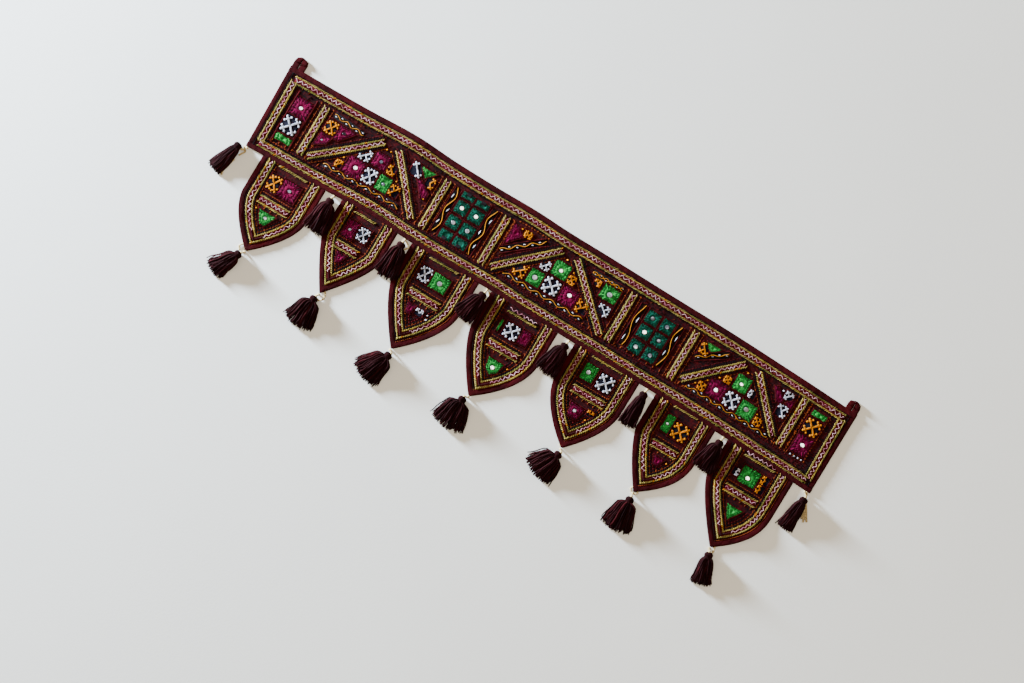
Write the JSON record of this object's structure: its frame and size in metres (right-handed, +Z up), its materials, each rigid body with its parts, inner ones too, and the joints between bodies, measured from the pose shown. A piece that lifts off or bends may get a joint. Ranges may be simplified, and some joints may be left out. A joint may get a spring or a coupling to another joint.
{
  "type": "toran door hanging",
  "caption": "Embroidered mirror-work door hanging: a long band with pointed pendants, dark yarn tassels and a hanging loop at each end, laid flat.",
  "frame": {"origin": "middle of the band's flat underside, halfway along the band and halfway up it", "axes": "+X along the band, +Y towards the edge with the hanging loops, +Z up out of the embroidered face"},
  "size_m": [1.0561, 0.3785, 0.0121],
  "materials": {
    "embroidery": "dark red cloth covered with matt chain stitch in many colours",
    "binding": "matt plain-weave maroon cotton",
    "yarn": "matt dark maroon twisted yarn",
    "thread": "matt undyed cream cotton thread"
  },
  "bodies": {
    "root": {"band_panel": "embroidery", "band_binding_top": "binding", "band_binding_bottom": "binding", "band_binding_left": "binding", "band_binding_right": "binding", "pendant_1_panel": "embroidery", "pendant_1_binding": "binding", "pendant_2_panel": "embroidery", "pendant_2_binding": "binding", "pendant_3_panel": "embroidery", "pendant_3_binding": "binding", "pendant_4_panel": "embroidery", "pendant_4_binding": "binding", "pendant_5_panel": "embroidery", "pendant_5_binding": "binding", "pendant_6_panel": "embroidery", "pendant_6_binding": "binding", "pendant_7_panel": "embroidery", "pendant_7_binding": "binding", "tip_tassel_1": "yarn", "tip_tassel_2": "yarn", "tip_tassel_3": "yarn", "tip_tassel_4": "yarn", "tip_tassel_5": "yarn", "tip_tassel_6": "yarn", "tip_tassel_7": "yarn", "between_tassel_1": "yarn", "between_tassel_2": "yarn", "between_tassel_3": "yarn", "between_tassel_4": "yarn", "between_tassel_5": "yarn", "between_tassel_6": "yarn", "end_tassel_left": "yarn", "end_tassel_right": "yarn", "tip_tie_1": "thread", "tip_tie_2": "thread", "tip_tie_3": "thread", "tip_tie_4": "thread", "tip_tie_5": "thread", "tip_tie_6": "thread", "tip_tie_7": "thread", "between_tie_1": "thread", "between_tie_2": "thread", "between_tie_3": "thread", "between_tie_4": "thread", "between_tie_5": "thread", "between_tie_6": "thread", "end_tie_left": "thread", "end_tie_right": "thread", "loop_left": "binding", "loop_right": "binding"}
  },
  "joints": []
}
